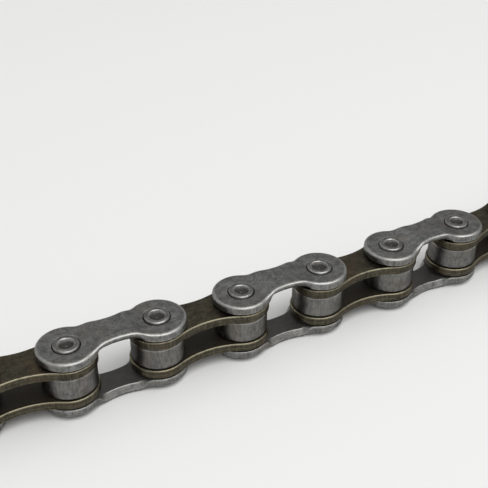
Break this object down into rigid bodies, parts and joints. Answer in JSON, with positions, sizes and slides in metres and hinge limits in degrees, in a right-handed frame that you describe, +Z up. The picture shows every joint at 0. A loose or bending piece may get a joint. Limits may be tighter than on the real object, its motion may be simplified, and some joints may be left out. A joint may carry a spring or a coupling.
{
  "type": "roller chain strand",
  "caption": "Strand of half-inch roller chain in dark steel, lying on its side: waisted inner and outer link plates, riveted pins and turning rollers.",
  "frame": {"origin": "on the floor under the middle of the strand's bounding box", "axes": "+Z up along the pins, +X along the strand from its start end to its far end, +Y across the strand in the plane that it bends in"},
  "size_m": [0.1978, 0.0178, 0.0102],
  "materials": {
    "outer_plate": "tumbled dark grey steel with fine scratches, mottling and bright worn edges",
    "inner_plate": "bronze-brown heat-treated steel with an oil film",
    "pin": "grey steel pin end, turned, with a dimple and a bright rubbed rim",
    "roller": "smooth dark grey steel with soft vertical reflections and an oil film"
  },
  "bodies": {
    "inner_link_1": {"inner_link_1_bottom_plate": "inner_plate", "inner_link_1_top_plate": "inner_plate"},
    "outer_link_1": {"outer_link_1_bottom_plate": "outer_plate", "outer_link_1_top_plate": "outer_plate", "outer_link_1_pin_a": "pin", "outer_link_1_pin_b": "pin"},
    "inner_link_2": {"inner_link_2_bottom_plate": "inner_plate", "inner_link_2_top_plate": "inner_plate"},
    "outer_link_2": {"outer_link_2_bottom_plate": "outer_plate", "outer_link_2_top_plate": "outer_plate", "outer_link_2_pin_a": "pin", "outer_link_2_pin_b": "pin"},
    "inner_link_3": {"inner_link_3_bottom_plate": "inner_plate", "inner_link_3_top_plate": "inner_plate"},
    "outer_link_3": {"outer_link_3_bottom_plate": "outer_plate", "outer_link_3_top_plate": "outer_plate", "outer_link_3_pin_a": "pin", "outer_link_3_pin_b": "pin"},
    "inner_link_4": {"inner_link_4_bottom_plate": "inner_plate", "inner_link_4_top_plate": "inner_plate"},
    "outer_link_4": {"outer_link_4_bottom_plate": "outer_plate", "outer_link_4_top_plate": "outer_plate", "outer_link_4_pin_a": "pin", "outer_link_4_pin_b": "pin"},
    "inner_link_5": {"inner_link_5_bottom_plate": "inner_plate", "inner_link_5_top_plate": "inner_plate"},
    "outer_link_5": {"outer_link_5_bottom_plate": "outer_plate", "outer_link_5_top_plate": "outer_plate", "outer_link_5_pin_a": "pin", "outer_link_5_pin_b": "pin"},
    "inner_link_6": {"inner_link_6_bottom_plate": "inner_plate", "inner_link_6_top_plate": "inner_plate"},
    "outer_link_6": {"outer_link_6_bottom_plate": "outer_plate", "outer_link_6_top_plate": "outer_plate", "outer_link_6_pin_a": "pin", "outer_link_6_pin_b": "pin"},
    "inner_link_7": {"inner_link_7_bottom_plate": "inner_plate", "inner_link_7_top_plate": "inner_plate"},
    "outer_link_7": {"outer_link_7_bottom_plate": "outer_plate", "outer_link_7_top_plate": "outer_plate", "outer_link_7_pin_a": "pin", "outer_link_7_pin_b": "pin"},
    "inner_link_8": {"inner_link_8_bottom_plate": "inner_plate", "inner_link_8_top_plate": "inner_plate"},
    "inner_link_1_roller_a": {"inner_link_1_roller_a": "roller"},
    "inner_link_1_roller_b": {"inner_link_1_roller_b": "roller"},
    "inner_link_2_roller_a": {"inner_link_2_roller_a": "roller"},
    "inner_link_2_roller_b": {"inner_link_2_roller_b": "roller"},
    "inner_link_3_roller_a": {"inner_link_3_roller_a": "roller"},
    "inner_link_3_roller_b": {"inner_link_3_roller_b": "roller"},
    "inner_link_4_roller_a": {"inner_link_4_roller_a": "roller"},
    "inner_link_4_roller_b": {"inner_link_4_roller_b": "roller"},
    "inner_link_5_roller_a": {"inner_link_5_roller_a": "roller"},
    "inner_link_5_roller_b": {"inner_link_5_roller_b": "roller"},
    "inner_link_6_roller_a": {"inner_link_6_roller_a": "roller"},
    "inner_link_6_roller_b": {"inner_link_6_roller_b": "roller"},
    "inner_link_7_roller_a": {"inner_link_7_roller_a": "roller"},
    "inner_link_7_roller_b": {"inner_link_7_roller_b": "roller"},
    "inner_link_8_roller_a": {"inner_link_8_roller_a": "roller"},
    "inner_link_8_roller_b": {"inner_link_8_roller_b": "roller"}
  },
  "joints": [
    {"name": "hinge_01", "type": "hinge", "parent": "outer_link_1", "child": "inner_link_1", "pos_m": [-0.08224, 0.004, 0.0051], "axis": [0, 0, 1], "range_deg": [-130, 130]},
    {"name": "hinge_02", "type": "hinge", "parent": "inner_link_2", "child": "outer_link_1", "pos_m": [-0.06959, 0.0029, 0.0051], "axis": [0, 0, -1], "range_deg": [-130, 130]},
    {"name": "hinge_03", "type": "hinge", "parent": "outer_link_2", "child": "inner_link_2", "pos_m": [-0.05697, 0.00146, 0.0051], "axis": [0, 0, 1], "range_deg": [-130, 130]},
    {"name": "hinge_04", "type": "hinge", "parent": "inner_link_3", "child": "outer_link_2", "pos_m": [-0.04438, -0.0002, 0.0051], "axis": [0, 0, -1], "range_deg": [-130, 130]},
    {"name": "hinge_05", "type": "hinge", "parent": "outer_link_3", "child": "inner_link_3", "pos_m": [-0.03182, -0.00207, 0.0051], "axis": [0, 0, 1], "range_deg": [-130, 130]},
    {"name": "hinge_06", "type": "hinge", "parent": "inner_link_4", "child": "outer_link_3", "pos_m": [-0.01913, -0.00263, 0.0051], "axis": [0, 0, -1], "range_deg": [-130, 130]},
    {"name": "hinge_07", "type": "hinge", "parent": "outer_link_4", "child": "inner_link_4", "pos_m": [-0.00646, -0.0034, 0.0051], "axis": [0, 0, 1], "range_deg": [-130, 130]},
    {"name": "hinge_08", "type": "hinge", "parent": "outer_link_4", "child": "inner_link_5", "pos_m": [0.00622, -0.00418, 0.0051], "axis": [0, 0, 1], "range_deg": [-130, 130]},
    {"name": "hinge_09", "type": "hinge", "parent": "inner_link_5", "child": "outer_link_5", "pos_m": [0.01891, -0.00473, 0.0051], "axis": [0, 0, -1], "range_deg": [-130, 130]},
    {"name": "hinge_10", "type": "hinge", "parent": "outer_link_5", "child": "inner_link_6", "pos_m": [0.03161, -0.00484, 0.0051], "axis": [0, 0, 1], "range_deg": [-130, 130]},
    {"name": "hinge_11", "type": "hinge", "parent": "inner_link_6", "child": "outer_link_6", "pos_m": [0.0443, -0.00451, 0.0051], "axis": [0, 0, -1], "range_deg": [-130, 130]},
    {"name": "hinge_12", "type": "hinge", "parent": "outer_link_6", "child": "inner_link_7", "pos_m": [0.05698, -0.00374, 0.0051], "axis": [0, 0, 1], "range_deg": [-130, 130]},
    {"name": "hinge_13", "type": "hinge", "parent": "inner_link_7", "child": "outer_link_7", "pos_m": [0.06964, -0.00274, 0.0051], "axis": [0, 0, -1], "range_deg": [-130, 130]},
    {"name": "hinge_14", "type": "hinge", "parent": "outer_link_7", "child": "inner_link_8", "pos_m": [0.08228, -0.00152, 0.0051], "axis": [0, 0, 1], "range_deg": [-130, 130]},
    {"name": "inner_link_1_roller_a_spin", "type": "hinge", "parent": "inner_link_1", "child": "inner_link_1_roller_a", "pos_m": [-0.09491, 0.00489, 0.0051], "axis": [0, 0, 1], "continuous": true},
    {"name": "inner_link_1_roller_b_spin", "type": "hinge", "parent": "inner_link_1", "child": "inner_link_1_roller_b", "pos_m": [-0.08224, 0.004, 0.0051], "axis": [0, 0, 1], "continuous": true},
    {"name": "inner_link_2_roller_a_spin", "type": "hinge", "parent": "inner_link_2", "child": "inner_link_2_roller_a", "pos_m": [-0.06959, 0.0029, 0.0051], "axis": [0, 0, 1], "continuous": true},
    {"name": "inner_link_2_roller_b_spin", "type": "hinge", "parent": "inner_link_2", "child": "inner_link_2_roller_b", "pos_m": [-0.05697, 0.00146, 0.0051], "axis": [0, 0, 1], "continuous": true},
    {"name": "inner_link_3_roller_a_spin", "type": "hinge", "parent": "inner_link_3", "child": "inner_link_3_roller_a", "pos_m": [-0.04438, -0.0002, 0.0051], "axis": [0, 0, 1], "continuous": true},
    {"name": "inner_link_3_roller_b_spin", "type": "hinge", "parent": "inner_link_3", "child": "inner_link_3_roller_b", "pos_m": [-0.03182, -0.00207, 0.0051], "axis": [0, 0, 1], "continuous": true},
    {"name": "inner_link_4_roller_a_spin", "type": "hinge", "parent": "inner_link_4", "child": "inner_link_4_roller_a", "pos_m": [-0.01913, -0.00263, 0.0051], "axis": [0, 0, 1], "continuous": true},
    {"name": "inner_link_4_roller_b_spin", "type": "hinge", "parent": "inner_link_4", "child": "inner_link_4_roller_b", "pos_m": [-0.00646, -0.0034, 0.0051], "axis": [0, 0, 1], "continuous": true},
    {"name": "inner_link_5_roller_a_spin", "type": "hinge", "parent": "inner_link_5", "child": "inner_link_5_roller_a", "pos_m": [0.00622, -0.00418, 0.0051], "axis": [0, 0, 1], "continuous": true},
    {"name": "inner_link_5_roller_b_spin", "type": "hinge", "parent": "inner_link_5", "child": "inner_link_5_roller_b", "pos_m": [0.01891, -0.00473, 0.0051], "axis": [0, 0, 1], "continuous": true},
    {"name": "inner_link_6_roller_a_spin", "type": "hinge", "parent": "inner_link_6", "child": "inner_link_6_roller_a", "pos_m": [0.03161, -0.00484, 0.0051], "axis": [0, 0, 1], "continuous": true},
    {"name": "inner_link_6_roller_b_spin", "type": "hinge", "parent": "inner_link_6", "child": "inner_link_6_roller_b", "pos_m": [0.0443, -0.00451, 0.0051], "axis": [0, 0, 1], "continuous": true},
    {"name": "inner_link_7_roller_a_spin", "type": "hinge", "parent": "inner_link_7", "child": "inner_link_7_roller_a", "pos_m": [0.05698, -0.00374, 0.0051], "axis": [0, 0, 1], "continuous": true},
    {"name": "inner_link_7_roller_b_spin", "type": "hinge", "parent": "inner_link_7", "child": "inner_link_7_roller_b", "pos_m": [0.06964, -0.00274, 0.0051], "axis": [0, 0, 1], "continuous": true},
    {"name": "inner_link_8_roller_a_spin", "type": "hinge", "parent": "inner_link_8", "child": "inner_link_8_roller_a", "pos_m": [0.08228, -0.00152, 0.0051], "axis": [0, 0, 1], "continuous": true},
    {"name": "inner_link_8_roller_b_spin", "type": "hinge", "parent": "inner_link_8", "child": "inner_link_8_roller_b", "pos_m": [0.09492, -0.0003, 0.0051], "axis": [0, 0, 1], "continuous": true}
  ]
}
